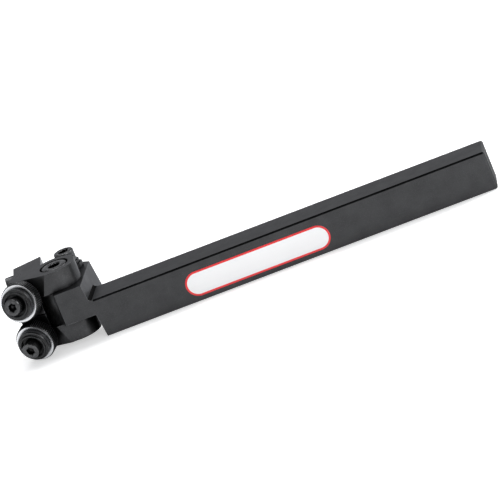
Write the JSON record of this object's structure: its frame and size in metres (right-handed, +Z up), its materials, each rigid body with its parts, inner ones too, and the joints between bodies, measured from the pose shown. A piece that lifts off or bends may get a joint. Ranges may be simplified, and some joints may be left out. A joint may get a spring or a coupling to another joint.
{
  "type": "knurling tool holder",
  "caption": "Square-shank lathe tool holder whose head carries two mirrored swivel arms with straight-toothed knurl wheels.",
  "frame": {"origin": "middle of the shank's underside", "axes": "+X along the shank to its tail, -Y the side the wheels face, +Z up"},
  "size_m": [0.2468, 0.048, 0.0414],
  "materials": {
    "holder": "black oxide on ground steel, satin",
    "arm": "black oxide on milled steel, satin with fine speckle",
    "bush": "black oxide on turned steel, satin",
    "washer": "black oxide, satin",
    "screw_steel": "black oxide on alloy steel, satin",
    "spacer_steel": "black oxide on turned steel, satin",
    "wheel_steel": "ground high speed steel, bright"
  },
  "bodies": {
    "holder": {"holder_body": "holder", "upper_pivot_bush": "spacer_steel", "upper_pivot_screw": "screw_steel", "upper_clamp_washer": "washer", "upper_clamp_screw": "screw_steel", "lower_pivot_bush": "spacer_steel", "lower_pivot_screw": "screw_steel", "lower_clamp_washer": "washer", "lower_clamp_screw": "screw_steel"},
    "upper_arm": {"upper_arm": "arm", "upper_side_screw": "screw_steel", "upper_wheel_spacer": "spacer_steel", "upper_wheel_bush": "bush", "upper_axle_screw": "screw_steel"},
    "lower_arm": {"lower_arm": "arm", "lower_side_screw": "screw_steel", "lower_wheel_spacer": "spacer_steel", "lower_wheel_bush": "bush", "lower_axle_screw": "screw_steel"},
    "upper_wheel": {"upper_knurl_wheel": "wheel_steel"},
    "lower_wheel": {"lower_knurl_wheel": "wheel_steel"}
  },
  "joints": [
    {"name": "upper_arm_swivel", "type": "hinge", "parent": "holder", "child": "upper_arm", "pos_m": [-0.11465, 0.0047, 0.03375], "axis": [0, 0, 1], "range_deg": [-5, 5]},
    {"name": "lower_arm_swivel", "type": "hinge", "parent": "holder", "child": "lower_arm", "pos_m": [-0.11465, 0.0047, 0.00775], "axis": [0, 0, 1], "range_deg": [-5, 5]},
    {"name": "upper_wheel_spin", "type": "hinge", "parent": "upper_arm", "child": "upper_wheel", "pos_m": [-0.13484, -0.00699, 0.03118], "axis": [-0.4017, -0.9023, 0.1564], "continuous": true},
    {"name": "lower_wheel_spin", "type": "hinge", "parent": "lower_arm", "child": "lower_wheel", "pos_m": [-0.13484, -0.00699, 0.01032], "axis": [-0.4017, -0.9023, -0.1564], "continuous": true}
  ]
}
